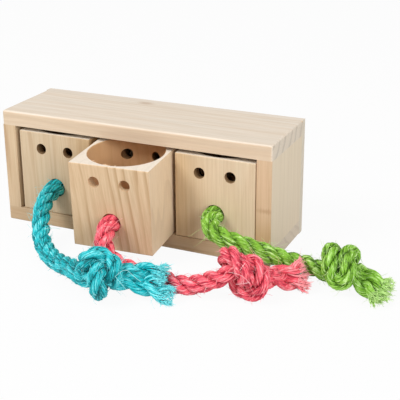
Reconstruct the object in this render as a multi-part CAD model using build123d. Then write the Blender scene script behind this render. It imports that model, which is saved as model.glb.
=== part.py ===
from build123d import *
import math
import os

# Treat box for pets: an open-fronted pine case holds three block drawers. Each drawer has a
# round treat cup bored in its top, two air holes, and a knotted sisal rope to pull it by.
# Millimetres. X runs along the case, -Y is the front, +Z is up. The origin is the centre of
# the case's underside.

# ---------------------------------------------------------------- drawer sizes
drawer_width = 55.0
drawer_depth = 55.0
drawer_height = 57.0
drawer_edge_round = 0.7
cup_wall = 2.5
cup_floor = 6.0
cup_edge_break = 0.4
air_hole_diameter = 7.5
air_hole_spacing = 21.0
air_hole_drop = 11.5
rope_hole_height = 19.0

# ---------------------------------------------------------------- board sizes
top_thickness = 10.0
bottom_thickness = 10.0
side_thickness = 10.0
back_thickness = 6.0
top_edge_round = 1.6
board_edge_round = 0.8

# ---------------------------------------------------------------- room round the drawers
head_play = 3.0
rear_play = 1.0
left_play = 2.6
middle_left_gap = 4.2
running_gap = 0.3
right_play = 0.6
seat_gap = 0.1
head_gap = 0.5

# ---------------------------------------------------------------- how the drawers stand
left_drawer_recess = 0.7
right_drawer_recess = 0.3
middle_pull_out = 35.6
middle_skew = 3.5

# ---------------------------------------------------------------- rope sizes
rope_diameter = 12.0
rope_hole_play = 1.0
rope_start_depth = 1.35
teal_lead = 8.5
pink_lead = 7.0
green_lead = 8.0
tail_bunch_diameter = 8.5
knot_roundness = 0.95
stopper_half_length = 11.0
stopper_half_width = 12.4
stopper_end_length = 17.0
stopper_bend_shift = 1.0
stopper_end_shift = 5.0
stopper_end_rise = 4.0

# ---------------------------------------------------------------- fastener sizes
brad_diameter = 1.4
brad_length = 25.0
brad_head_diameter = 2.8
brad_head_thickness = 0.7
brad_point_length = 1.6
brad_sink = 0.2
base_brad_end_distance = 12.0
back_brad_end_distance = 18.0
dowel_diameter = 5.0
dowel_length = 18.0
dowel_top_depth = 6.0
dowel_end_distance = 13.0
joint_gap = 0.05

# ---------------------------------------------------------------- sizes that follow
skew_sine = math.sin(math.radians(middle_skew))
skew_cosine = math.cos(math.radians(middle_skew))
skewed_width = drawer_width * skew_cosine + drawer_depth * skew_sine

opening_height = drawer_height + head_play
bay_depth = drawer_depth + rear_play
opening_width = (
    left_play + drawer_width + middle_left_gap + skewed_width
    + running_gap + drawer_width + right_play
)
case_length = opening_width + 2 * side_thickness
case_depth = bay_depth + back_thickness
case_height = bottom_thickness + opening_height + top_thickness

case_left = -case_length / 2
opening_left = -opening_width / 2
opening_right = opening_width / 2
front_y = -case_depth / 2
back_inner_y = front_y + bay_depth
back_face_y = front_y + case_depth
floor_z = bottom_thickness
ceiling_z = bottom_thickness + opening_height

left_drawer_x = opening_left + left_play
right_drawer_x = opening_right - right_play - drawer_width

# The pulled-out drawer leans on the front edge of the bottom board by as much as the head
# room lets it: it still clears the top board when it is pushed right in.
middle_droop = math.degrees(math.asin((head_play - head_gap) / bay_depth))
middle_corner_x = right_drawer_x - running_gap - drawer_width * skew_cosine
middle_corner_y = front_y - middle_pull_out
middle_corner_z = floor_z + seat_gap - middle_pull_out * math.tan(math.radians(middle_droop))

rope_hole_diameter = rope_diameter + rope_hole_play
cup_diameter = min(drawer_width, drawer_depth) - 2 * cup_wall
cup_front_y = (drawer_depth - cup_diameter) / 2
stopper_y = cup_front_y + running_gap + stopper_half_length

LOW_CORNER = (Align.MIN, Align.MIN, Align.MIN)
FROM_BASE = (Align.CENTER, Align.CENTER, Align.MIN)
FROM_TOP = (Align.CENTER, Align.CENTER, Align.MAX)

nodes = {}


# ---------------------------------------------------------------- fasteners
def brad(head, direction):
    """A headed wire brad with its head's outer face at head, driven along direction."""
    head_radius = brad_head_diameter / 2
    wire_radius = brad_diameter / 2
    outline = Polyline(
        (0, 0),
        (head_radius, 0),
        (head_radius, brad_head_thickness),
        (wire_radius, brad_head_thickness),
        (wire_radius, brad_length - brad_point_length),
        (0, brad_length),
        close=True,
    )
    turned = revolve(Plane.XZ * make_face(outline), axis=Axis.Z)
    return Plane(origin=head, z_dir=direction).location * turned


def brad_hole(head, direction):
    """The hole that a brad fills, from the face it is driven through."""
    wire = Cylinder(brad_diameter / 2 + joint_gap, brad_length + joint_gap, align=FROM_BASE)
    pocket_depth = brad_head_thickness + brad_sink + joint_gap
    pocket = Pos(0, 0, -brad_sink) * Cylinder(
        brad_head_diameter / 2 + joint_gap, pocket_depth, align=FROM_BASE
    )
    return Plane(origin=head, z_dir=direction).location * (wire + pocket)


def dowel(x, y, gap=0.0):
    """A wooden dowel standing partly in a side board and partly in the top board."""
    top = ceiling_z + dowel_top_depth + gap
    return Pos(x, y, top) * Cylinder(
        dowel_diameter / 2 + gap, dowel_length + 2 * gap, align=FROM_TOP
    )


side_centres = (opening_left - side_thickness / 2, opening_right + side_thickness / 2)
base_brad_rows = (front_y + base_brad_end_distance, back_inner_y - base_brad_end_distance)
back_brad_columns = (
    case_left + back_brad_end_distance,
    0,
    case_length / 2 - back_brad_end_distance,
)
back_brad_levels = (bottom_thickness / 2, case_height - top_thickness / 2)
dowel_rows = (front_y + dowel_end_distance, back_inner_y - dowel_end_distance)

base_brad_heads = [(x, y, brad_sink) for x in side_centres for y in base_brad_rows]
back_brad_heads = [
    (x, back_face_y - brad_sink, z) for x in back_brad_columns for z in back_brad_levels
]
dowel_spots = [(x, y) for x in side_centres for y in dowel_rows]

base_holes = [brad_hole(head, (0, 0, 1)) for head in base_brad_heads]
back_holes = [brad_hole(head, (0, -1, 0)) for head in back_brad_heads]
dowel_holes = [dowel(x, y, joint_gap) for x, y in dowel_spots]

nodes["base_brads"] = Compound([brad(head, (0, 0, 1)) for head in base_brad_heads])
nodes["back_brads"] = Compound([brad(head, (0, -1, 0)) for head in back_brad_heads])
nodes["top_dowels"] = Compound([dowel(x, y) for x, y in dowel_spots])


# ---------------------------------------------------------------- case
def rounded_plate(thickness, base_z, outer_level, radius):
    """A board over the full length, its outer long and end edges and front corners eased."""
    plate = Pos(case_left, front_y, base_z) * Box(
        case_length, bay_depth, thickness, align=LOW_CORNER
    )
    outer = plate.edges().group_by(Axis.Z)[outer_level]
    front_corners = plate.edges().filter_by(Axis.Z).group_by(Axis.Y)[0]
    eased = outer.group_by(Axis.Y)[0] + outer.filter_by(Axis.Y) + front_corners
    return fillet(eased, radius)


def side_board(low_x, outer_edge):
    """A board on end between top and bottom, with its outer front edge eased."""
    plate = Pos(low_x, front_y, floor_z) * Box(
        side_thickness, bay_depth, opening_height, align=LOW_CORNER
    )
    front_edges = plate.edges().filter_by(Axis.Z).group_by(Axis.Y)[0].sort_by(Axis.X)
    return fillet(front_edges[outer_edge], board_edge_round)


top_plate = rounded_plate(top_thickness, ceiling_z, -1, top_edge_round)
bottom_plate = rounded_plate(bottom_thickness, 0, 0, board_edge_round)
back_plate = Pos(case_left, back_inner_y, 0) * Box(
    case_length, back_thickness, case_height, align=LOW_CORNER
)
back_plate = fillet(back_plate.edges().group_by(Axis.Y)[-1], board_edge_round)

nodes["top_board"] = top_plate - dowel_holes - back_holes
nodes["bottom_board"] = bottom_plate - base_holes - back_holes
nodes["left_side"] = side_board(case_left, 0) - base_holes - dowel_holes
nodes["right_side"] = side_board(opening_right, -1) - base_holes - dowel_holes
nodes["back_panel"] = back_plate - back_holes


# ---------------------------------------------------------------- drawer blocks
def front_hole(diameter, length, offset, height):
    """A cylinder from the block's front face towards its back."""
    return Pos(drawer_width / 2 + offset, 0, height) * Cylinder(
        diameter / 2, length, rotation=(-90, 0, 0), align=FROM_BASE
    )


def drawer_block():
    """One block with its lowest front left corner at the origin."""
    block = Box(drawer_width, drawer_depth, drawer_height, align=LOW_CORNER)
    block = fillet(block.edges(), drawer_edge_round)
    block -= Pos(drawer_width / 2, drawer_depth / 2, cup_floor) * Cylinder(
        cup_diameter / 2, drawer_height, align=FROM_BASE
    )
    rim = block.edges().filter_by(GeomType.CIRCLE).group_by(Axis.Z)[-1]
    block = chamfer(rim, cup_edge_break)
    for side in (-1, 1):
        block -= front_hole(
            air_hole_diameter, drawer_depth, side * air_hole_spacing / 2,
            drawer_height - air_hole_drop,
        )
    return block - front_hole(rope_hole_diameter, drawer_depth / 2, 0, rope_hole_height)


left_place = Pos(left_drawer_x, front_y + left_drawer_recess, floor_z + seat_gap)
right_place = Pos(right_drawer_x, front_y + right_drawer_recess, floor_z + seat_gap)
middle_place = (
    Pos(middle_corner_x, middle_corner_y, middle_corner_z)
    * Rot(X=middle_droop)
    * Rot(Z=middle_skew)
)

nodes["left_drawer"] = left_place * drawer_block()
nodes["middle_drawer"] = middle_place * drawer_block()
nodes["right_drawer"] = right_place * drawer_block()


# ---------------------------------------------------------------- ropes
def corner_radii(route):
    """The largest bend that each corner of a route has room for."""
    radii = []
    for before, here, after in zip(route, route[1:], route[2:]):
        run_in = Vector(*here) - Vector(*before)
        run_out = Vector(*after) - Vector(*here)
        half_turn = math.radians(run_in.get_angle(run_out)) / 2
        shorter_run = min(run_in.length, run_out.length)
        radii.append(0.45 * shorter_run / math.tan(half_turn))
    return radii


def tube(route, diameter):
    """A round stretch of rope along straight runs joined by tangent bends."""
    path = FilletPolyline(*route, radius=corner_radii(route))
    start = Plane(origin=route[0], z_dir=Vector(*route[1]) - Vector(*route[0]))
    return sweep(start * Circle(diameter / 2), path=path)


def knot(centre, along, half_length, half_width):
    """The outer shape of a pulled-tight knot: a well-rounded drum, shorter along the rope."""
    drum = Cylinder(half_width, 2 * half_length, rotation=(0, 90, 0))
    drum = fillet(drum.edges().filter_by(GeomType.CIRCLE), knot_roundness * half_length)
    across = Vector(*along).cross(Vector(0, 0, 1))
    return Plane(origin=centre, x_dir=along, z_dir=across).location * drum


def in_drawer(place, y, x_offset=0.0, z_offset=0.0):
    """A point given from a block's rope hole: depth behind its front, sideways and up."""
    spot = place * Pos(drawer_width / 2 + x_offset, y, rope_hole_height + z_offset)
    return tuple(spot.position)


def stopper_knot(place):
    """The knot in the cup that keeps the rope from pulling out, with its short cut end."""
    centre = in_drawer(place, stopper_y)
    ahead = in_drawer(place, stopper_y + 1)
    ball = knot(centre, Vector(*ahead) - Vector(*centre), stopper_half_length, stopper_half_width)
    half_way = stopper_y + stopper_end_length / 2
    bend = in_drawer(place, half_way, stopper_bend_shift, stopper_bend_shift)
    end_y = stopper_y + stopper_end_length
    end = in_drawer(place, end_y, stopper_end_shift, stopper_end_rise)
    return ball + tube([centre, bend, end], tail_bunch_diameter)


def pull_rope(colour, place, lead, route, outer_knot, tails):
    """One rope from its stopper knot through the block's front wall to its frayed end.

    lead is how far the rope stands square out of its hole. route is the rest of its way.
    """
    start = in_drawer(place, cup_front_y + rope_start_depth)
    path = [start, in_drawer(place, -lead)] + route
    rope = tube(path, rope_diameter)
    bends = corner_radii(path)
    length = FilletPolyline(*path, radius=bends).length
    ratio = rope.volume / (math.pi * rope_diameter ** 2 / 4 * length)
    print(colour, "rope", round(length, 1), "mm, volume over section times length", round(ratio, 4))
    print("   bend radii", [round(bend, 1) for bend in bends])
    nodes[colour + "_stopper_knot"] = stopper_knot(place)
    nodes[colour + "_rope"] = rope
    nodes[colour + "_knot"] = knot(*outer_knot)
    first, second = [tube(tail, tail_bunch_diameter) for tail in tails]
    nodes[colour + "_tail"] = first + second


pull_rope(
    "teal",
    left_place,
    lead=teal_lead,
    route=[
        (-56.6, -51, 22.8),
        (-52.7, -60, 14.2),
        (-45, -70.5, 7.4),
        (-32, -83, 6),
        (-17, -92, 6.3),
        (-3, -101.5, 10.8),
        (10.5, -107, 15.4),
    ],
    outer_knot=((20, -110.3, 17.1), (1, -0.05, 0), 11.8, 17),
    tails=[
        [(25, -108.8, 16.5), (36, -98.5, 15.9), (45, -93.3, 15.5), (55, -91.9, 15.6)],
        [(25, -110.5, 14.5), (38.5, -103.5, 11), (50.5, -100.7, 8), (62, -99, 4.6)],
    ],
)

pull_rope(
    "pink",
    middle_place,
    lead=pink_lead,
    route=[
        (6.6, -80.3, 21),
        (11.3, -83.6, 14),
        (19.5, -84, 8.7),
        (31, -82.2, 6.3),
        (46, -84, 6),
        (60, -87.6, 6.1),
        (74, -86.5, 8.2),
        (87.5, -81.8, 12.6),
    ],
    outer_knot=((98.3, -78.5, 16.6), (1, 0.35, 0), 15, 16.5),
    tails=[
        [(106, -73, 15), (112, -64.5, 13.5), (117.3, -57.5, 12.2), (124.6, -48.6, 12)],
        [(106, -74, 13), (112.5, -64.5, 8.2), (118.4, -57, 5.4), (128.6, -52.6, 4.6)],
    ],
)

pull_rope(
    "green",
    right_place,
    lead=green_lead,
    route=[
        (63.7, -45.6, 26.6),
        (70.6, -49.4, 23.9),
        (79, -48.9, 21.4),
        (89.2, -45, 18.1),
        (101.8, -41.2, 13.6),
        (114.5, -37.8, 9.6),
        (127, -37, 8.4),
        (138.5, -39.6, 12),
    ],
    outer_knot=((146, -41.4, 14.6), (1, -0.05, 0), 11.3, 14.4),
    tails=[
        [(151.5, -40.5, 12.5), (156.8, -37.5, 9.2), (163.5, -35.4, 7), (175.4, -36.4, 5)],
        [(151.5, -42, 11.5), (156, -41.5, 8.5), (161, -43.8, 6.2), (173.6, -52.4, 4.6)],
    ],
)


# ---------------------------------------------------------------- files
os.makedirs("parts", exist_ok=True)
for name, shape in nodes.items():
    shape.label = name
    export_step(shape, "parts/" + name + ".step")
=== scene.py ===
import math

import bpy
import numpy as np
from mathutils import Matrix, Vector


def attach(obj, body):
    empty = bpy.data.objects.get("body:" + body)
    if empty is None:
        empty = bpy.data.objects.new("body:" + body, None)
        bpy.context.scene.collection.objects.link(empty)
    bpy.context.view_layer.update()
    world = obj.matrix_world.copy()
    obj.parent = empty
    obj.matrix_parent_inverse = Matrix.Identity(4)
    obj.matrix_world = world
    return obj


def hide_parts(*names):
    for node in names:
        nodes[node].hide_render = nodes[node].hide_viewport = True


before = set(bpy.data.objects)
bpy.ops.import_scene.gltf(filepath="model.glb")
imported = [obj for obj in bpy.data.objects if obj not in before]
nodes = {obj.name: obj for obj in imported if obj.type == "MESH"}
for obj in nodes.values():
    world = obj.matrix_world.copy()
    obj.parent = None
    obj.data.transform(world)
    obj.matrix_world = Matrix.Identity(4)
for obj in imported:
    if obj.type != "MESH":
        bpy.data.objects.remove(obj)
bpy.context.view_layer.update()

# ---------------------------------------------------------------- top board
# A planed board of pale, untreated pine over the full length of the box, doweled and glued to the sides.
# The grain is solid: growth rings round a pith line outside the board, so that its ends show arcs and
# its faces stripes.
MM = 0.001
RING_DRIFT = 14.0
LATE_WOOD_FROM = 0.5
LATE_WOOD_PEAK = 0.93


def add(tree, kind, inputs, **settings):
    """A shader node with its settings and its inputs, each a value or another node's output."""
    made = tree.nodes.new(kind)
    for name, value in settings.items():
        setattr(made, name, value)
    for name, value in inputs.items():
        if isinstance(value, bpy.types.NodeSocket):
            tree.links.new(value, made.inputs[name])
        else:
            made.inputs[name].default_value = value
    return made


def maths(tree, operation, first, second=0.0):
    return add(tree, "ShaderNodeMath", {0: first, 1: second}, operation=operation).outputs[0]


def vectors(tree, operation, first, second=(0.0, 0.0, 0.0)):
    """A vector, or the number that a length, a distance or a dot product comes to."""
    made = add(tree, "ShaderNodeVectorMath", {0: first, 1: second}, operation=operation)
    number = operation in ("LENGTH", "DISTANCE", "DOT_PRODUCT")
    return made.outputs["Value" if number else "Vector"]


def band(tree, value, low, high):
    """0 below low, 1 above high and smooth between them."""
    made = add(
        tree, "ShaderNodeMapRange", {"Value": value, "From Min": low, "From Max": high},
        interpolation_type="SMOOTHSTEP",
    )
    return made.outputs["Result"]


def inside(tree, value, low, high):
    """1 below low, 0 above high and smooth between them."""
    return maths(tree, "SUBTRACT", 1.0, band(tree, value, low, high))


def mixed(tree, amount, first, second, blend="MIX"):
    made = add(
        tree, "ShaderNodeMix", {0: amount, 6: first, 7: second}, data_type="RGBA", blend_type=blend
    )
    return made.outputs[2]


grain = bpy.data.node_groups.new("grain", "ShaderNodeTree")
grain.interface.new_socket("Place", in_out="INPUT", socket_type="NodeSocketVector")
grain.interface.new_socket("Ring", in_out="INPUT", socket_type="NodeSocketFloat")
for mask in ("Late", "Fibre", "Cloud"):
    grain.interface.new_socket(mask, in_out="OUTPUT", socket_type="NodeSocketFloat")
grain_in = grain.nodes.new("NodeGroupInput")
grain_out = grain.nodes.new("NodeGroupOutput")


def drawn_noise(fineness, detail, roughness=0.5):
    """Noise in the grain group. fineness is the number of its features per mm along X, Y and Z."""
    place = vectors(grain, "MULTIPLY", grain_in.outputs["Place"], fineness)
    return add(
        grain, "ShaderNodeTexNoise",
        {"Vector": place, "Scale": 1.0, "Detail": detail, "Roughness": roughness},
    )


drift = drawn_noise((0.008, 0.042, 0.042), 2.0).outputs["Color"]
pushed = add(
    grain, "ShaderNodeVectorMath",
    {
        0: vectors(grain, "SUBTRACT", drift, (0.5, 0.5, 0.5)),
        1: (0.0, RING_DRIFT, RING_DRIFT),
        2: grain_in.outputs["Place"],
    },
    operation="MULTIPLY_ADD",
).outputs["Vector"]
from_pith = vectors(grain, "LENGTH", vectors(grain, "MULTIPLY", pushed, (0, 1, 1)))
year = maths(grain, "FRACT", maths(grain, "DIVIDE", from_pith, grain_in.outputs["Ring"]))
late = maths(
    grain, "SUBTRACT", band(grain, year, LATE_WOOD_FROM, LATE_WOOD_PEAK),
    band(grain, year, LATE_WOOD_PEAK, 1.0),
)
fibre = drawn_noise((0.02, 0.85, 0.85), 4.0, 0.65)
cloud = drawn_noise((0.01, 0.09, 0.09), 2.0)
grain.links.new(late, grain_out.inputs["Late"])
grain.links.new(fibre.outputs["Fac"], grain_out.inputs["Fibre"])
grain.links.new(cloud.outputs["Fac"], grain_out.inputs["Cloud"])

FIBRE_SHADE = (0.88, 0.84, 0.79, 1)
WARM_CLOUD = (1, 0.975, 0.94, 1)
COOL_CLOUD = (0.985, 1, 1, 1)
# The tint of painted shade, multiplied in where a part lies in shadow.
SHADE_TINT = (0.88, 0.80, 0.68, 1)
BRANCH = (0.36, 0.2, 0.1, 1)
BRANCH_SHARE = 0.45
# The colour of painted shade on the walls of the air holes.
HOLE_SHADE = (0.45, 0.36, 0.27, 1)
CUP_WALL = (0.67, 0.40, 0.19, 1)
CUP_WALL_SHARE = 0.75


def branch_mask(tree, in_mm, fibres, middle, shape):
    """An oval with a rough edge where a small branch was. shape scales the distances from its middle."""
    oval = vectors(tree, "MULTIPLY", vectors(tree, "SUBTRACT", in_mm, middle), shape)
    rough = maths(tree, "MULTIPLY", fibres, 2.2)
    return inside(tree, maths(tree, "ADD", vectors(tree, "LENGTH", oval), rough), 1.3, 2.4)


def face_mask(tree, in_mm, outward, way, least):
    """The surface that looks outward along way and lies at least so many mm out that way."""
    facing = band(tree, vectors(tree, "DOT_PRODUCT", outward, way), 0.75, 0.97)
    far = band(tree, vectors(tree, "DOT_PRODUCT", in_mm, way), least - 1, least)
    return maths(tree, "MULTIPLY", facing, far)


def drilled_mask(tree, in_mm, outward, middle):
    """The wall of an air hole near its middle, but not the face round its mouth."""
    facing = vectors(tree, "DOT_PRODUCT", outward, (0, 1, 0))
    across = inside(tree, maths(tree, "ABSOLUTE", facing), 0.3, 0.7)
    near = inside(tree, vectors(tree, "DISTANCE", in_mm, middle), 5.8, 6.3)
    return maths(tree, "MULTIPLY", near, across)


def cup_mask(tree, in_mm, middle, lean):
    """The bored wall and floor of a cup whose axis goes up through middle and leans toward -Y."""
    away = vectors(tree, "SUBTRACT", in_mm, middle)
    upward = add(tree, "ShaderNodeSeparateXYZ", {0: away}).outputs["Z"]
    tipped = add(tree, "ShaderNodeCombineXYZ", {"Y": maths(tree, "MULTIPLY", upward, lean)}).outputs[0]
    level = vectors(tree, "MULTIPLY", vectors(tree, "ADD", away, tipped), (1, 1, 0))
    return inside(tree, vectors(tree, "LENGTH", level), 25.1, 25.35)


def pine(
    name, upright, pith, ring, contrast, early, late_wood, lean=0.0, branch=None, faces=(), holes=(),
    bore=None, painted_shade=None,
):
    """Pine whose grain runs along X, or along Z if upright. pith is a point of the pith line and ring
    the width of a year, in mm, contrast the strength of the late wood and lean the grain's slant in
    degrees. branch is a small branch's middle and shape. faces holds (outward direction, least distance,
    colour, share, ring share) for faces tinted apart, partly for the cut of the wood and partly as painted
    light, holes the middles of air holes whose walls get painted shade, and bore a point on a cup's axis
    and its lean. The last argument holds the axis and the two places between which painted shade darkens
    the wood."""
    made = bpy.data.materials.new(name)
    made.use_nodes = True
    tree = made.node_tree
    shader = tree.nodes["Principled BSDF"]
    spot = add(tree, "ShaderNodeTexCoord", {})
    outward = spot.outputs["Normal"]
    in_mm = vectors(tree, "MULTIPLY", spot.outputs["Object"], (1 / MM, 1 / MM, 1 / MM))
    turn = (0, math.radians(90 + lean), 0) if upright else (0, 0, math.radians(lean))
    lined_up = add(
        tree, "ShaderNodeVectorRotate",
        {"Vector": vectors(tree, "SUBTRACT", in_mm, pith), "Rotation": turn}, rotation_type="EULER_XYZ",
    )
    wood = add(tree, "ShaderNodeGroup", {}, node_tree=grain)
    tree.links.new(lined_up.outputs[0], wood.inputs["Place"])
    wood.inputs["Ring"].default_value = ring
    strength = maths(tree, "MULTIPLY", wood.outputs["Late"], contrast)
    varied = maths(tree, "MULTIPLY", strength, band(tree, wood.outputs["Cloud"], 0.25, 0.6))
    coloured = mixed(tree, varied, (*early, 1), (*late_wood, 1))
    streak = band(tree, wood.outputs["Fibre"], 0.3, 0.7)
    shade = mixed(tree, streak, FIBRE_SHADE, (1.0, 1.0, 1.0, 1))
    coloured = mixed(tree, 1.0, coloured, shade, "MULTIPLY")
    tint = mixed(tree, band(tree, wood.outputs["Cloud"], 0.35, 0.75), WARM_CLOUD, COOL_CLOUD)
    coloured = mixed(tree, 1.0, coloured, tint, "MULTIPLY")
    # Painted shade: the wood is darkened between two places along one axis.
    if painted_shade:
        axis, pale_from, dark_to = painted_shade
        place = add(tree, "ShaderNodeSeparateXYZ", {0: in_mm}).outputs[axis]
        coloured = mixed(tree, band(tree, place, pale_from, dark_to), coloured, SHADE_TINT, "MULTIPLY")
    if branch:
        stub = branch_mask(tree, in_mm, wood.outputs["Fibre"], *branch)
        coloured = mixed(tree, maths(tree, "MULTIPLY", stub, BRANCH_SHARE), coloured, BRANCH)
    # Tints of single faces, partly for the cut of the wood and partly painted light for the way each face
    # looks.
    for way, least, colour, share, ring_share in faces:
        amount = maths(tree, "MULTIPLY", face_mask(tree, in_mm, outward, way, least), share)
        darker = tuple(0.72 * part for part in colour)
        rings = maths(tree, "MULTIPLY", wood.outputs["Late"], ring_share)
        ringed = mixed(tree, rings, (*colour, 1), (*darker, 1))
        cut_and_lit = mixed(tree, 0.5, ringed, mixed(tree, 1.0, ringed, shade, "MULTIPLY"))
        coloured = mixed(tree, amount, coloured, cut_and_lit)
    # Painted shade on the walls of the air holes.
    for middle in holes:
        shaded_wall = drilled_mask(tree, in_mm, outward, middle)
        coloured = mixed(tree, shaded_wall, coloured, HOLE_SHADE, "MULTIPLY")
    if bore:
        bored = maths(tree, "MULTIPLY", cup_mask(tree, in_mm, *bore), CUP_WALL_SHARE)
        coloured = mixed(tree, bored, coloured, CUP_WALL)
    tree.links.new(coloured, shader.inputs["Base Color"])
    shader.inputs["Roughness"].default_value = 0.62
    shader.inputs["Specular IOR Level"].default_value = 0.3
    bump = add(
        tree, "ShaderNodeBump", {"Height": wood.outputs["Fibre"], "Strength": 0.12, "Distance": 0.2 * MM}
    )
    tree.links.new(bump.outputs["Normal"], shader.inputs["Normal"])
    return made


def wear(material, *names):
    """Gives CAD nodes this material alone."""
    for name in names:
        nodes[name].data.materials.clear()
        nodes[name].data.materials.append(material)


LEFT = (-1, 0, 0)
RIGHT = (1, 0, 0)
FRONT = (0, -1, 0)
UP = (0, 0, 1)
CASE_END = 97
PALE = (0.76, 0.68, 0.59)
SAWN_END = (0.64, 0.56, 0.46)
top_pine = pine(
    "pine_top", upright=False, pith=(0, -77, 129), ring=9.0, contrast=0.22,
    early=PALE, late_wood=(0.66, 0.50, 0.35), lean=1.2, branch=((-15, 22, 80), (0.14, 0.4, 0.4)),
    faces=[
        (FRONT, 30, (0.64, 0.465, 0.30), 0.65, 0.3),
        (RIGHT, CASE_END, SAWN_END, 0.8, 0.9),
        (LEFT, CASE_END, SAWN_END, 0.8, 0.9),
    ],
)
wear(top_pine, "top_board")

# ---------------------------------------------------------------- bottom board
# The same board under the drawers, a little browner, with its sawn ends showing. The sides are nailed
# to it from below.
BROWN_LATE = (0.5, 0.34, 0.2)
bottom_pine = pine(
    "pine_bottom", upright=False, pith=(0, -40, -50), ring=7.0, contrast=0.4,
    early=(0.58, 0.43, 0.28), late_wood=BROWN_LATE,
    faces=[(RIGHT, CASE_END, SAWN_END, 0.8, 0.5), (LEFT, CASE_END, SAWN_END, 0.8, 0.5)],
)
wear(bottom_pine, "bottom_board")

# ---------------------------------------------------------------- side boards
# Two short boards on end between the top and the bottom, grain upright, each with the trace of a small
# branch. The right one gets darker toward its foot as painted shadow of the green rope, and its outer face
# is tinted paler and greyer, partly for its cut and partly as painted light.
left_pine = pine(
    "pine_left", upright=True, pith=(-140, 30, 0), ring=5.0, contrast=0.5,
    early=(0.64, 0.49, 0.33), late_wood=BROWN_LATE, lean=1.0,
    branch=((-96.8, -31, 60), (0.25, 0.3, 0.04)),
    faces=[(LEFT, CASE_END, (0.70, 0.59, 0.44), 0.6, 0.3)],
)
wear(left_pine, "left_side")
right_pine = pine(
    "pine_right", upright=True, pith=(150, 60, 0), ring=5.5, contrast=0.35,
    early=(0.66, 0.48, 0.32), late_wood=(0.56, 0.4, 0.26), lean=0.8,
    # Painted shadow of the green rope: darker toward the foot of the post.
    branch=((94, -31, 37), (0.16, 0.4, 0.5)), painted_shade=("Z", 36, 14),
    # Partly painted light: the outer right face is tinted paler and greyer.
    faces=[(RIGHT, CASE_END, (0.70, 0.61, 0.47), 0.85, 0.1)],
)
wear(right_pine, "right_side")

# ---------------------------------------------------------------- back panel
# A thinner pine board over the whole back, nailed to the top and the bottom board. Its narrow edges
# show at both ends of the box and along the top.
back_pine = pine(
    "pine_back", upright=False, pith=(0, 90, 10), ring=6.0, contrast=0.4,
    early=(0.6, 0.48, 0.34), late_wood=(0.52, 0.38, 0.25),
    faces=[
        (RIGHT, CASE_END, (0.66, 0.61, 0.52), 0.8, 0.4),
        (LEFT, CASE_END, (0.70, 0.62, 0.50), 0.8, 0.4),
        (UP, 79, PALE, 0.9, 0.2),
    ],
)
wear(back_pine, "back_panel")

# ---------------------------------------------------------------- brads and dowels
# Bright wire brads driven flush into the underside and the back, and short beech dowels glued in under
# the top, where they don't show.
steel = bpy.data.materials.new("brad_steel")
steel.use_nodes = True
steel_shader = steel.node_tree.nodes["Principled BSDF"]
steel_shader.inputs["Base Color"].default_value = (0.52, 0.52, 0.53, 1)
steel_shader.inputs["Metallic"].default_value = 1.0
steel_shader.inputs["Roughness"].default_value = 0.35
wear(steel, "base_brads", "back_brads")
beech = pine(
    "dowel_beech", upright=True, pith=(0, 0, 0), ring=2.0, contrast=0.2,
    early=(0.55, 0.4, 0.26), late_wood=BROWN_LATE,
)
wear(beech, "top_dowels")

# ---------------------------------------------------------------- drawer blocks
# Solid pine blocks, sawn with the grain upright, then bored: a round cup, air holes, a rope hole. The
# tops are tinted pale as painted light from above and the wall of the cup is a warmer brown. The walls of
# the air holes get painted shade, the left and the right block painted shade toward the middle one, and
# the middle block's right face is tinted paler as painted light.
# Painted light from above: the tops of the blocks are tinted pale.
LIT_TOP = (UP, 62, (0.82, 0.74, 0.64), 0.9, 0.15)
left_block = pine(
    "pine_left_drawer", upright=True, pith=(-95, 30, 0), ring=6.5, contrast=0.4,
    early=(0.62, 0.49, 0.34), late_wood=(0.5, 0.34, 0.21), lean=2.0, faces=[LIT_TOP],
    holes=[(-68.4, -27.9, 55.6), (-47.4, -27.9, 55.6)], bore=((-57.9, -2.8, 15), 0),
    # Painted shade: darker toward the middle drawer.
    painted_shade=("X", -53, -33),
)
wear(left_block, "left_drawer")
middle_block = pine(
    "pine_middle_drawer", upright=True, pith=(-118, -70, 0), ring=6.5, contrast=0.66,
    early=(0.68, 0.505, 0.33), late_wood=(0.44, 0.26, 0.12), lean=7.0,
    # Painted light: the right face of the middle block is tinted paler.
    faces=[LIT_TOP, (RIGHT, 20, (0.80, 0.64, 0.46), 0.8, 0.25)],
    holes=[(-9.1, -15.2, 56.3), (11.9, -13.9, 56.4)], bore=((2.95, -37.77, 15.8), 0.0446),
)
wear(middle_block, "middle_drawer")
right_block = pine(
    "pine_right_drawer", upright=True, pith=(120, 60, 0), ring=7.0, contrast=0.2,
    early=(0.70, 0.57, 0.41), late_wood=(0.56, 0.39, 0.25), lean=1.0, faces=[LIT_TOP],
    holes=[(49.4, -28.3, 55.6), (70.4, -28.3, 55.6)], bore=((59.9, -3.2, 15), 0),
    # Painted shade: darker toward the middle drawer.
    painted_shade=("X", 60, 34),
)
wear(right_block, "right_drawer")

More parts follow.
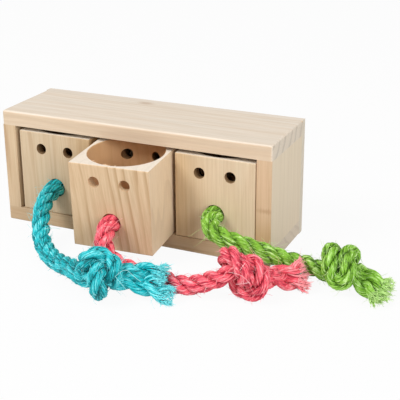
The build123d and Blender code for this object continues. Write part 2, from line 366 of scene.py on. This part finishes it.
# ---------------------------------------------------------------- splinters
# Short splinters of the block's own pine that the drill tore up along the front rim of the middle cup.
# Each is a small wedge that stays rooted in the rim.
CUP_RADIUS = 25.1
RIM_MIDDLE = np.array((2.95, -40.05, 66.75))
RIM_DROP = 1.12
TORN_AT = (-28, -24, -21, -6, -3.5, -2, 0.5, 3, 12)
splinter_chance = np.random.default_rng(5)
corners = []
faces = []
for angle in TORN_AT:
    turn = math.radians(angle)
    aside = math.sin(turn)
    ahead = math.cos(turn)
    root = RIM_MIDDLE + (CUP_RADIUS * aside, -CUP_RADIUS * ahead, -RIM_DROP * ahead)
    side = np.array((ahead, aside, 0)) * splinter_chance.uniform(0.35, 0.7)
    tip = np.array((-aside, ahead, 0)) * splinter_chance.uniform(0.6, 1.5)
    lift = np.array((0, 0, splinter_chance.uniform(0.1, 0.5)))
    buried = root + side * 0.2 - tip * 0.5 - (0, 0, 0.5)
    first = len(corners)
    corners += [root - side, root + side, root + tip + lift, buried]
    faces += [
        (first, first + 1, first + 2), (first, first + 3, first + 1),
        (first + 1, first + 3, first + 2), (first, first + 2, first + 3),
    ]
splinter_mesh = bpy.data.meshes.new("rim_splinters")
splinter_mesh.from_pydata([corner * MM for corner in corners], [], faces)
splinter_mesh.materials.append(middle_block)
splinters = bpy.data.objects.new("rim_splinters", splinter_mesh)
bpy.context.scene.collection.objects.link(splinters)
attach(splinters, "middle_unit")

# ---------------------------------------------------------------- laid sisal
# Hairy sisal rope of 12 mm, dyed right through: three strands of seventeen yarns laid right-handed,
# the yarns turned the other way. It is streaked along the fibres, with painted shade in the creases and
# between the yarns and painted light on the crests.
ROPE = 12.0
STEP = 1.3
LAY = 28.5
YARN_LAY = 21.0
STRAND_OFFSET = 3.15
YARN_OFFSET = 2.35
YARN = 0.58
HEART_SHARE = 0.86
CREST = 0.86
NOISE_SHIFT = 3.7
chance = np.random.default_rng(7)


def unit(ways):
    return ways / np.linalg.norm(ways, axis=-1, keepdims=True)


def smooth_line(name, route):
    """Points of the smooth NURBS line, in mm, that has the route's points as control points."""
    curve = bpy.data.curves.new(name, "CURVE")
    curve.dimensions = "3D"
    spline = curve.splines.new("NURBS")
    spline.points.add(len(route) - 1)
    for point, place in zip(spline.points, route):
        point.co = (*place, 1)
    spline.order_u = 3
    spline.use_endpoint_u = True
    spline.resolution_u = 16
    holder = bpy.data.objects.new(name, curve)
    mesh = bpy.data.meshes.new_from_object(holder)
    line = np.array([vertex.co for vertex in mesh.vertices])
    bpy.data.objects.remove(holder)
    bpy.data.meshes.remove(mesh)
    bpy.data.curves.remove(curve)
    return line


def along(line):
    """Length along a line up to each of its points."""
    return np.concatenate([[0], np.cumsum(np.linalg.norm(np.diff(line, axis=0), axis=1))])


def evenly(line, step):
    """The same line with points about a step apart."""
    travelled = along(line)
    count = max(3, int(round(travelled[-1] / step)) + 1)
    wanted = np.linspace(0, travelled[-1], count)
    return np.stack([np.interp(wanted, travelled, line[:, axis]) for axis in range(3)], 1)


def frames(lines):
    """Two directions square to each line, carried along it without twist. lines is (points, lines, 3)."""
    tangents = unit(np.gradient(lines, axis=0))
    normals = np.empty_like(lines)
    normals[0] = unit(np.cross(tangents[0], (0.31, 0.17, 0.94)))
    for here in range(1, len(lines)):
        tangent = tangents[here]
        carried = normals[here - 1]
        normals[here] = unit(carried - (carried * tangent).sum(-1, keepdims=True) * tangent)
    return normals, np.cross(tangents, normals)


def laid(centre, section, strands=3, yarns=17, offset=STRAND_OFFSET, ring=YARN_OFFSET, start=0.0):
    """Lines of the strands and of their yarns round a centre line. section scales the rope's width."""
    travelled = along(centre)[:, None]
    normals, across = frames(centre[:, None])
    turn = 2 * math.pi * (travelled / LAY + np.arange(strands) / strands) + start
    round_centre = np.cos(turn)[..., None] * normals + np.sin(turn)[..., None] * across
    strand_lines = centre[:, None] + offset * section[:, None, None] * round_centre
    normals, across = frames(strand_lines)
    turn = 2 * math.pi * (-travelled / YARN_LAY + np.arange(yarns) / yarns)
    turn = turn[:, None] + chance.uniform(0, 0.25, (1, strands, yarns))
    spread = ring * section[:, None, None] * chance.uniform(0.9, 1.1, (1, strands, yarns))
    out = np.cos(turn)[..., None] * normals[:, :, None] + np.sin(turn)[..., None] * across[:, :, None]
    yarn_lines = strand_lines[:, :, None] + spread[..., None] * out
    return strand_lines, yarn_lines.reshape(len(centre), -1, 3)


def tubes(lines, radii, shades, sides=6):
    """Arrays of one closed tube round each line: corners, faces, places along the fibres and shades.
    lines is (points, tubes, 3), in mm, and each tube starts at a place of its own in the noise."""
    points, count = lines.shape[:2]
    normals, across = frames(lines)
    turn = np.linspace(0, 2 * math.pi, sides, endpoint=False)[:, None]
    ring = np.cos(turn) * normals[:, :, None] + np.sin(turn) * across[:, :, None]
    corners = lines[:, :, None] + radii[..., None, None] * ring
    index = np.arange(points * count * sides).reshape(points, count, sides)
    turned = np.roll(index, -1, axis=2)
    walls = np.stack([index[:-1], turned[:-1], turned[1:], index[1:]], -1).reshape(-1, 4)
    caps = []
    for corner in range(1, sides - 1, 2):
        picked = [0, corner, corner + 1, corner + 2]
        caps.append(index[-1][:, picked])
        caps.append(index[0][:, picked[::-1]])
    travelled = np.linalg.norm(np.diff(lines, axis=0), axis=2).cumsum(0)
    travelled = np.concatenate([np.zeros((1, count)), travelled])
    place = np.arange(sides) / sides + NOISE_SHIFT * np.arange(count)[:, None]
    u_low = np.broadcast_to(place, (points, count, sides))
    v_low = np.broadcast_to(travelled[..., None], (points, count, sides))
    step = 1 / sides
    u_wall = np.stack([u_low[:-1], u_low[:-1] + step, u_low[:-1] + step, u_low[:-1]], -1)
    v_wall = np.stack([v_low[:-1], v_low[:-1], v_low[1:], v_low[1:]], -1)
    uv = np.stack([u_wall, v_wall], -1).reshape(-1, 2)
    faces = np.concatenate([walls, *caps])
    uv = np.concatenate([uv, np.zeros(((len(faces) - len(walls)) * 4, 2))])
    shade = np.broadcast_to(shades[..., None], (points, count, sides)).reshape(-1)
    return corners.reshape(-1, 3), faces, uv, shade


def yarn_parts(centre, strand_lines, yarn_lines, section):
    """Tubes for the yarns and for the core of each strand. The cores are dark and the yarns darker nearer
    the rope's middle as painted shade, and paler on the crests as painted light.
    """
    count = yarn_lines.shape[1]
    radii = YARN * section[:, None] * chance.uniform(0.88, 1.12, (1, count))
    crest = np.linalg.norm(yarn_lines - centre[:, None], axis=2) / (0.5 * ROPE * section[:, None])
    # Painted light and shade: yarns on the crests are paler and those nearer the rope's middle darker.
    shades = chance.uniform(0.1, 0.84, (1, count)) + 1.1 * (np.clip(crest, 0.3, 1) - CREST)
    # The cores are coloured dark, painted shade seen in the gaps between the yarns.
    painted_shade = YARN_OFFSET * HEART_SHARE * section[:, None] * np.ones((1, strand_lines.shape[1]))
    return [tubes(yarn_lines, radii, shades), tubes(strand_lines, painted_shade, np.zeros(painted_shade.shape))]


def mesh_piece(name, parts, material, body):
    """One object from several lots of tubes, riding on a body."""
    corners = np.concatenate([part[0] for part in parts]) * MM
    starts = np.cumsum([0] + [len(part[0]) for part in parts])
    faces = np.concatenate([part[1] + start for part, start in zip(parts, starts)])
    mesh = bpy.data.meshes.new(name)
    mesh.from_pydata(corners, [], faces)
    uv = np.concatenate([part[2] for part in parts])
    mesh.uv_layers.new(name="fibre").data.foreach_set("uv", uv.ravel())
    shade = mesh.attributes.new("shade", "FLOAT", "POINT")
    shade.data.foreach_set("value", np.concatenate([part[3] for part in parts]))
    mesh.polygons.foreach_set("use_smooth", np.ones(len(faces), bool))
    mesh.materials.append(material)
    piece = bpy.data.objects.new(name, mesh)
    bpy.context.scene.collection.objects.link(piece)
    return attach(piece, body)


def sisal(name, dark, plain, light):
    """Dyed sisal, streaked along the fibres and pale at the hairs. Where the shade attribute is low it is
    dark: painted shade in the creases and between the yarns.
    """
    made = bpy.data.materials.new(name)
    made.use_nodes = True
    tree = made.node_tree
    shader = tree.nodes["Principled BSDF"]
    place = add(tree, "ShaderNodeUVMap", {}, uv_map="fibre").outputs["UV"]
    fibres = add(
        tree, "ShaderNodeTexNoise",
        {
            "Vector": vectors(tree, "MULTIPLY", place, (2.5, 0.3, 1.0)),
            "Scale": 1.0, "Detail": 3.0, "Roughness": 0.6,
        },
    ).outputs["Fac"]
    shade = add(tree, "ShaderNodeAttribute", {}, attribute_name="shade").outputs["Fac"]
    streak = maths(tree, "MULTIPLY", maths(tree, "SUBTRACT", fibres, 0.5), 2.3)
    tone = maths(tree, "ADD", shade, streak)
    lit = mixed(tree, band(tree, tone, -0.05, 0.5), (*dark, 1), (*plain, 1))
    lit = mixed(tree, band(tree, tone, 0.5, 1.2), lit, (*light, 1))
    bleached = [0.45 + 0.5 * part for part in light]
    lit = mixed(tree, band(tree, tone, 1.35, 2.0), lit, (*bleached, 1))
    tree.links.new(lit, shader.inputs["Base Color"])
    shader.inputs["Roughness"].default_value = 0.55
    shader.inputs["Specular IOR Level"].default_value = 0.35
    bump = add(tree, "ShaderNodeBump", {"Height": fibres, "Strength": 0.5, "Distance": 0.25 * MM})
    tree.links.new(bump.outputs["Normal"], shader.inputs["Normal"])
    return made


# ---------------------------------------------------------------- knots
# Overhand knots tied in the rope and pulled tight, one outside and one as a stopper in each cup. Their
# line is settled here as rope does: it keeps its length, doesn't kink and lies on itself.
TYING_ROPE = 10.6
TIED_HALF = 38
KNOT_ROPE = 9.2
STOPPER_ROPE = 9.0
STOPPER_SECTION = 0.78
TIGHTEST_BEND = 1.12
BEND_SPAN = 0.9
MAY_TOUCH = 1.45
ROUNDS = 4
PACKED_FROM = 10
PACKED_TO = -6


def settle(line, thickness, steps, pull=0.0, room=None, held=3, drawn=1.0, packed=None):
    """Moves a line of rope until it lies on itself and not in itself. pull draws its ends apart, room, a
    lowest and a highest corner, holds its middle, drawn is the share of its length left in the end, and
    packed is the centre and the half size of an egg shape that its middle is pressed into at first."""
    line = line.copy()
    gap = np.linalg.norm(np.diff(line, axis=0), axis=1).mean()
    apart = int(round(MAY_TOUCH * thickness / gap))
    reach = int(round(BEND_SPAN * thickness / gap))
    shortest = TIGHTEST_BEND * thickness * math.sin(BEND_SPAN / TIGHTEST_BEND)
    first, second = np.triu_indices(len(line), apart)
    ends = line.copy()
    for step in range(steps):
        gap *= drawn ** (1 / steps)
        if pull:
            line[0, 0] -= pull
            line[-1, 0] += pull
            line[[0, -1], 1:] *= 0.96
        for _ in range(ROUNDS):
            for start in (0, 1):
                here = line[start:-1:2]
                there = line[start + 1::2]
                count = min(len(here), len(there))
                between = there[:count] - here[:count]
                size = np.linalg.norm(between, axis=1, keepdims=True)
                shift = between * (1 - gap / size) * 0.5
                line[start:start + 2 * count:2] += shift
                line[start + 1:start + 1 + 2 * count:2] -= shift
            chord = line[reach:] - line[:-reach]
            size = np.linalg.norm(chord, axis=1, keepdims=True)
            stiff = chord * np.clip(shortest - size, 0, None) / size * 0.25
            line[reach:] += stiff
            line[:-reach] -= stiff
            between = line[second] - line[first]
            square = (between ** 2).sum(1)
            touching = square < thickness ** 2
            if touching.any():
                size = np.sqrt(square[touching])[:, None]
                shift = between[touching] * (thickness - size) / size * 0.5
                moved = np.zeros_like(line)
                times = np.zeros(len(line))
                np.add.at(moved, second[touching], shift)
                np.add.at(moved, first[touching], -shift)
                np.add.at(times, second[touching], 1)
                np.add.at(times, first[touching], 1)
                line += 1.6 * moved / np.maximum(times, 1)[:, None]
        line[1:-1] += 0.05 * (line[:-2] + line[2:] - 2 * line[1:-1])
        if packed and step < 0.8 * steps:
            away = (line[PACKED_FROM:PACKED_TO] - packed[0]) / packed[1]
            far = np.maximum(1, np.linalg.norm(away, axis=1, keepdims=True))
            line[PACKED_FROM:PACKED_TO] -= 0.3 * np.array(packed[1]) * away * (1 - 1 / far)
        if not pull:
            line[:held] = ends[:held]
            line[-held:] = ends[-held:]
        if room is not None:
            line[held:-held] = np.clip(line[held:-held], room[0], room[1])
    return line


def tight_knot():
    """The line of an overhand knot pulled tight, its middle at the origin and its leads along X."""
    t = np.linspace(-2.15, 2.15, 400)
    loose = np.stack([t ** 3 - 3 * t, 0.6 * (t ** 4 - 4 * t ** 2), (t ** 5 - 10 * t) / 8], 1) * 10
    pulled = settle(evenly(loose, 1.5), TYING_ROPE, 1200, pull=0.5)
    middle = len(pulled) // 2
    core = pulled[middle - TIED_HALF:middle + TIED_HALF + 1]
    return core - (core.max(0) + core.min(0)) / 2


KNOT = tight_knot()


def placed_knot(centre, way, roll, tilt, mirror, squash):
    """The tight knot's line, turned by roll about its leads and by tilt out of line with way."""
    ahead = Vector(way).normalized()
    aside = Vector((0, 0, 1)).cross(ahead).normalized()
    axes = Matrix((ahead, aside, ahead.cross(aside))).transposed()
    tilted = Matrix.Rotation(math.radians(tilt), 3, "Y")
    rolled = Matrix.Rotation(math.radians(roll), 3, "X")
    return (KNOT * (squash, 1, mirror)) @ np.array(axes @ tilted @ rolled).T + centre


# ---------------------------------------------------------------- loose hairs
# Fibre ends that have worked out of the yarns: short fuzz all over, longer curved hairs here and there,
# and a few single pale ones where the dye didn't take.
LOWEST_HAIR = 0.15


def hair_parts(yarn_lines, centre, count, shortest, longest, thickness=0.1, lift=(0.3, 1.3)):
    """Curved loose hairs that start on the yarns and stand off the rope."""
    which = chance.integers(1, len(yarn_lines) - 1, count)
    roots = yarn_lines[which, chance.integers(0, yarn_lines.shape[1], count)]
    outward = unit(roots - centre[which])
    forward = unit(centre[which + 1] - centre[which - 1]) * chance.choice([-1, 1], (count, 1))
    lifted = forward + outward * chance.uniform(*lift, (count, 1))
    heading = unit(lifted + chance.normal(0, 0.3, (count, 3)))
    curl = chance.normal(0, 0.5, (count, 3)) - outward * 0.3
    size = chance.uniform(shortest, longest, (count, 1))
    t = np.linspace(0, 1, 9)[:, None, None]
    lines = roots + size * (heading * t + curl * t ** 2 * 0.6)
    lines[..., 2] = np.maximum(lines[..., 2], LOWEST_HAIR)
    radii = thickness * np.linspace(1, 0.4, 9)[:, None] * chance.uniform(0.7, 1.3, (1, count))
    shades = np.broadcast_to(chance.uniform(0.7, 1.7, (1, count)), radii.shape)
    return tubes(lines, radii, shades, sides=4)


def stray_parts(routes):
    """Single long pale hairs, each along a route of its own."""
    lines = []
    for route in routes:
        line = smooth_line("stray", route)
        lines.append(evenly(line, along(line)[-1] / 23))
    lines = np.stack(lines, 1)
    return tubes(lines, np.full(lines.shape[:2], 0.12), np.full(lines.shape[:2], 1.8), sides=4)


# ---------------------------------------------------------------- frayed ends
# The rope is cut off past the outer knot and its strands come apart into bunches. Each keeps its lay at
# first, then opens into single yarns and a woolly brush of fibres.
BUNCH_YARNS = 11
BUNCH_STRAND_OFFSET = 2.4
BUNCH_YARN_OFFSET = 1.9
BUNCH_HEART = 1.5
BUNCH_FLOOR = 3.4
OPENS_AT = 0.6
THINS_AT = 0.72
BRUSH_FROM = 0.8
BRUSH_FIBRES = 600


def bunch_parts(route):
    """A cut end: two opened strands that keep their lay and spread into a brush of fibres."""
    line = evenly(smooth_line("bunch", route), STEP)
    line[:, 2] = np.maximum(line[:, 2], BUNCH_FLOOR)
    part = along(line) / along(line)[-1]
    strand_lines, yarn_lines = laid(
        line, np.ones(len(line)), 2, BUNCH_YARNS, BUNCH_STRAND_OFFSET, BUNCH_YARN_OFFSET,
        chance.uniform(0, 6),
    )
    count = yarn_lines.shape[1]
    opened = (np.clip(part - OPENS_AT, 0, 1) / (1 - OPENS_AT))[:, None, None] ** 2
    outward = yarn_lines - line[:, None]
    ravelled = yarn_lines + opened * (outward * 0.25 + chance.normal(0, 0.7, (1, count, 3)))
    ravelled[..., 2] = np.maximum(ravelled[..., 2], 0.7)
    thinned = 0.6 * np.clip(part - THINS_AT, 0, 1)[:, None] / (1 - THINS_AT)
    taper = 1 - thinned * chance.uniform(0.5, 1, (1, count))
    radii = YARN * taper * chance.uniform(0.85, 1.1, (1, count))
    shades = chance.uniform(0.15, 0.9, (1, count)) + 0.5 * opened[..., 0]
    yarns = tubes(ravelled, radii, shades)
    # Dark cores in the strands, painted shade in the gaps between the yarns.
    painted_shade = BUNCH_HEART * (1 - np.clip(part * 1.3, 0, 0.97))[:, None] * np.ones((1, 2))
    shaded_cores = tubes(strand_lines, painted_shade, np.zeros(painted_shade.shape))
    which = chance.integers(int(BRUSH_FROM * len(line)), len(line) - 1, BRUSH_FIBRES)
    roots = ravelled[which, chance.integers(0, count, BRUSH_FIBRES)]
    end_way = unit(line[-1] - line[-5])
    outward = roots - line[which]
    heading = unit(end_way + 0.1 * outward + chance.normal(0, 0.2, (BRUSH_FIBRES, 3)))
    size = chance.uniform(1, 3.6, (BRUSH_FIBRES, 1))
    t = np.linspace(0, 1, 8)[:, None, None]
    lines = roots + size * (heading * t + chance.normal(0, 0.25, (BRUSH_FIBRES, 3)) * t ** 2)
    lines[..., 2] = np.maximum(lines[..., 2], 0.2)
    radii = chance.uniform(0.1, 0.25, (1, BRUSH_FIBRES)) * np.linspace(1, 0.5, 8)[:, None]
    shades = np.broadcast_to(chance.uniform(0.85, 1.4, (1, BRUSH_FIBRES)), radii.shape)
    brush = tubes(lines, radii, shades, sides=4)
    return [yarns, shaded_cores, brush, hair_parts(yarn_lines, line, count=14, shortest=3, longest=8)]


# ---------------------------------------------------------------- teal pull rope
# The left drawer's rope: a stopper knot in the cup, then out through the hole, down to the floor, to the
# right and up into the outer knot, with a frayed end of three bunches.
KNOT_REACH = 22
KNOT_STARTS = 15
LOOSE_LEAD = 8
TIED_SQUASH = 0.74
STOPPER_SQUASH = 0.5
STOPPER_TILT = 10
ON_THE_FLOOR = ((-200, -200, 5.6), (200, 200, 200))
DRAWN_THIN = 0.15
SWELLING = 0.12
SWELLING_AT = 8.5
SWELLING_LENGTH = 3.5


def pull_rope(colour, unit_name, material, route, knot, tails, stopper, strays):
    """One rope: stopper knot in the cup, the stretch outside, the outer knot and the frayed end."""
    line = smooth_line(colour + "_line", route)
    centre, way, roll, tilt, mirror, drawn, half_size = knot
    tied = placed_knot(centre, way, roll, tilt, mirror, TIED_SQUASH)
    lead = evenly(line, STEP)
    lead = lead[np.linalg.norm(lead - centre, axis=1) > KNOT_REACH]
    joined = evenly(np.concatenate([lead, tied, [tails[0][1]]]), STEP)
    free = len(lead) - LOOSE_LEAD
    near = settle(joined[free:], KNOT_ROPE, steps=60, room=ON_THE_FLOOR)
    near = settle(
        near, KNOT_ROPE, steps=160, room=ON_THE_FLOOR, drawn=drawn, packed=(centre, half_size)
    )
    whole = evenly(np.concatenate([joined[:free], near]), STEP)
    cut = int(np.argmax(np.linalg.norm(whole - centre, axis=1) < KNOT_STARTS))
    travelled = along(whole)
    section = 1 - DRAWN_THIN / (1 + np.exp(-(travelled - travelled[cut]) / 3))
    section += SWELLING * np.exp(-((travelled - SWELLING_AT) / SWELLING_LENGTH) ** 2)
    strand_lines, yarn_lines = laid(whole, section)
    start = cut - 1
    outside = yarn_parts(whole[:cut], strand_lines[:cut], yarn_lines[:cut], section[:cut])
    rope = mesh_piece(colour + "_rope_laid", outside, material, unit_name)
    knotted = yarn_parts(whole[start:], strand_lines[start:], yarn_lines[start:], section[start:])
    outer = mesh_piece(colour + "_knot_tied", knotted, material, unit_name)
    on_rope = (yarn_lines[:cut], whole[:cut])
    on_knot = (yarn_lines[cut:], whole[cut:])
    hairs = [
        hair_parts(*on_rope, count=100, shortest=3, longest=9),
        hair_parts(*on_rope, count=800, shortest=2, longest=5, thickness=0.14, lift=(0.02, 0.45)),
        hair_parts(*on_knot, count=90, shortest=3, longest=8),
        hair_parts(*on_knot, count=900, shortest=2, longest=5, thickness=0.15, lift=(0.02, 0.4)),
        stray_parts(strays),
    ]
    loose = mesh_piece(colour + "_hairs", hairs, material, unit_name)
    bunches = [part for tail in tails for part in bunch_parts(tail)]
    frayed = mesh_piece(colour + "_tail_frayed", bunches, material, unit_name)
    middle, inward, roll, corner = stopper
    coiled = placed_knot(middle, inward, roll, STOPPER_TILT, 1, STOPPER_SQUASH)
    coiled = evenly(np.concatenate([[route[0]], coiled]), STEP)
    in_cup = (np.array(middle) - corner, np.array(middle) + corner)
    coiled = settle(coiled, STOPPER_ROPE, steps=150, room=in_cup, held=2)
    narrow = np.full(len(coiled), STOPPER_SECTION)
    strand_lines, yarn_lines = laid(coiled, narrow)
    stopped = yarn_parts(coiled, strand_lines, yarn_lines, narrow)
    stop = mesh_piece(colour + "_stopper_tied", stopped, material, unit_name)
    for piece, node in ((rope, "rope"), (outer, "knot"), (frayed, "tail"), (stop, "stopper_knot")):
        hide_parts(colour + "_" + node)


teal = sisal("sisal_teal", dark=(0.0, 0.16, 0.18), plain=(0.004, 0.48, 0.53), light=(0.24, 0.85, 0.89))
pull_rope(
    "teal", "left_unit", teal,
    route=[
        (-57.9, -26.45, 29.1), (-57.9, -38.8, 29.1), (-56.6, -51, 22.8), (-52.7, -60, 14.2),
        (-45, -70.5, 7.4), (-32, -83, 6), (-17, -92, 6.3), (-3, -101.5, 10.8), (10.5, -107, 15.4),
    ],
    knot=((21.1, -112.1, 15.9), (1, -0.05, 0), 313, 48, -1, 0.8, (7.3, 7.4, 8.5)),
    tails=[
        [(25, -108.8, 16.5), (36, -98.5, 15.9), (45, -93.3, 15.5), (55, -91.9, 15.6)],
        [(26, -110.5, 14), (37, -102.2, 12), (46.5, -98, 10), (54.5, -95, 8.6)],
        [(25, -110.5, 13), (39, -103, 9.5), (51, -101, 6.6), (62.5, -100, 4.8)],
    ],
    stopper=((-57.9, -16.5, 29.1), (0, 1, 0), 30, (8, 6, 8)),
    strays=[
        [(33.8, -114, 18), (37, -114, 22), (41.3, -113, 24), (44.5, -112, 20), (48.5, -110, 16)],
        [(33.8, -114, 18.7), (36.4, -113, 14.3), (39.6, -112, 10.6)],
        [(-44.5, -68.5, 15.8), (-37.6, -70, 19.5), (-32.9, -67, 17.4)],
    ],
)

# ---------------------------------------------------------------- pink pull rope
# The middle drawer's rope: it drops steeply from the hole, runs along the floor to the right behind the
# teal knot, and ends in its own knot and two bunches.
pink = sisal("sisal_pink", dark=(0.44, 0.02, 0.048), plain=(0.87, 0.11, 0.155), light=(1.0, 0.44, 0.46))
pull_rope(
    "pink", "middle_unit", pink,
    route=[
        (4.39, -61.93, 27.74), (5.06, -72.75, 27.25), (6.6, -80.3, 21), (11.3, -83.6, 14),
        (19.5, -84, 8.7), (31, -82.2, 6.3), (46, -84, 6), (60, -87.6, 6.1), (74, -86.5, 8.2),
        (87.5, -81.8, 12.6),
    ],
    knot=((98.1, -79.6, 17.5), (1, 0.35, 0), 302, 41, 1, 0.77, (9.6, 10, 10.4)),
    tails=[
        [(106, -73, 15), (112, -64.5, 13.5), (117.3, -57.5, 12.2), (124.6, -48.6, 12)],
        [(106, -74, 13), (112.5, -64.5, 8.2), (118.4, -57, 5.4), (128.6, -52.6, 4.6)],
    ],
    stopper=((3.8, -52.0, 28.2), (-0.061, 0.997, 0.045), 100, (8, 6, 8)),
    strays=[
        [(94.8, -92, 23.5), (101.3, -93.5, 24.5), (106.2, -93.5, 22.5), (108.2, -92, 18.7)],
        [(102.5, -93.5, 26.7), (104, -94, 29), (105.4, -93, 31.6)],
        [(99.7, -92.5, 16.9), (105, -94, 19.1), (108.2, -92.5, 19.9)],
    ],
)

# ---------------------------------------------------------------- green pull rope
# The right drawer's rope: it leaves the hole to the right, crosses in front of the right side and comes
# down to its knot past the case, with a frayed end of three bunches.
green = sisal(
    "sisal_green", dark=(0.055, 0.14, 0.004), plain=(0.22, 0.48, 0.035), light=(0.62, 0.86, 0.34)
)
pull_rope(
    "green", "right_unit", green,
    route=[
        (59.9, -26.85, 29.1), (59.9, -38.7, 29.1), (63.7, -45.6, 26.6), (70.6, -49.4, 23.9),
        (79, -48.9, 21.4), (89.2, -45, 18.1), (101.8, -41.2, 13.6), (114.5, -37.8, 9.6),
        (127, -37, 8.4), (138.5, -39.6, 12),
    ],
    knot=((146, -41.4, 14.6), (0.87, 0.5, -0.3), 180, -40, 1, 0.68, (6, 7.5, 8.5)),
    tails=[
        [(151.5, -40.5, 12.5), (157.5, -36, 10), (164, -35.4, 7.6), (173.4, -37.4, 5.4)],
        [(151.5, -41, 12), (158, -39.5, 9), (165, -40.8, 6.6), (174, -44.5, 5)],
        [(151.5, -42, 11.5), (157.5, -44.5, 8), (164, -48, 5.6), (173.2, -54.5, 4.8)],
    ],
    stopper=((59.9, -16.9, 29.1), (0, 1, 0), 200, (8, 6, 8)),
    strays=[[(150.1, -50, 9.1), (153.8, -50.5, 7.5), (154.5, -50, 4.2)]],
)

# ---------------------------------------------------------------- studio
# A large flat white floor that the toy stands on, a large soft key from the upper left, a weak fill
# from the right and an even white surround.
FLOOR_SIZE = 8
FLOOR_GLOW = 0.94
SURROUND = 0.44
bpy.ops.mesh.primitive_plane_add(size=FLOOR_SIZE)
floor = bpy.context.object
floor.name = "floor"
white = bpy.data.materials.new("floor_white")
white.use_nodes = True
tree = white.node_tree
matt = tree.nodes["Principled BSDF"]
matt.inputs["Base Color"].default_value = (0.7, 0.7, 0.7, 1)
matt.inputs["Roughness"].default_value = 0.9
rays = add(tree, "ShaderNodeLightPath", {})
seen = maths(tree, "MAXIMUM", rays.outputs["Is Camera Ray"], rays.outputs["Is Glossy Ray"])
seen = maths(tree, "MAXIMUM", seen, rays.outputs["Is Transmission Ray"])
glow = add(tree, "ShaderNodeEmission", {"Color": (1, 1, 1, 1), "Strength": 1.0})
share = maths(tree, "MULTIPLY", seen, FLOOR_GLOW)
both = add(tree, "ShaderNodeMixShader", {0: share, 1: matt.outputs[0], 2: glow.outputs[0]})
tree.links.new(both.outputs[0], tree.nodes["Material Output"].inputs["Surface"])
floor.data.materials.append(white)

world = bpy.data.worlds.new("studio")
bpy.context.scene.world = world
world.use_nodes = True
world.node_tree.nodes["Background"].inputs["Color"].default_value = (1, 1, 1, 1)
world.node_tree.nodes["Background"].inputs["Strength"].default_value = SURROUND
LIT_SPOT = Vector((0, -0.03, 0.04))


def soft_lamp(name, place, size, power):
    lamp = bpy.data.lights.new(name, "AREA")
    lamp.size = size
    lamp.energy = power
    holder = bpy.data.objects.new(name, lamp)
    backward = Vector(place) - LIT_SPOT
    holder.matrix_world = Matrix.Translation(place) @ backward.to_track_quat("Z", "Y").to_matrix().to_4x4()
    bpy.context.scene.collection.objects.link(holder)


soft_lamp("key", (-0.85, -1.2, 1.5), size=0.9, power=31.0)
soft_lamp("fill", (1.44, -0.72, 0.81), size=1.0, power=17.0)

CAMERA_PLACE = (0.28088, -0.54002, 0.26291)
TURNED_LEFT = 25.67
LOOKING_DOWN = 20.13
ROLLED = -0.79
camera_data = bpy.data.cameras.new("camera")
camera_data.sensor_width = 36
camera_data.lens = 85.48
camera_data.shift_x = 0.05
camera_data.shift_y = -0.075
camera = bpy.data.objects.new("camera", camera_data)
camera.matrix_world = (
    Matrix.Translation(CAMERA_PLACE)
    @ Matrix.Rotation(math.radians(TURNED_LEFT), 4, "Z")
    @ Matrix.Rotation(math.radians(90 - LOOKING_DOWN), 4, "X")
    @ Matrix.Rotation(math.radians(ROLLED), 4, "Z")
)
bpy.context.scene.collection.objects.link(camera)
bpy.context.scene.camera = camera
bpy.context.scene.view_settings.view_transform = "Standard"
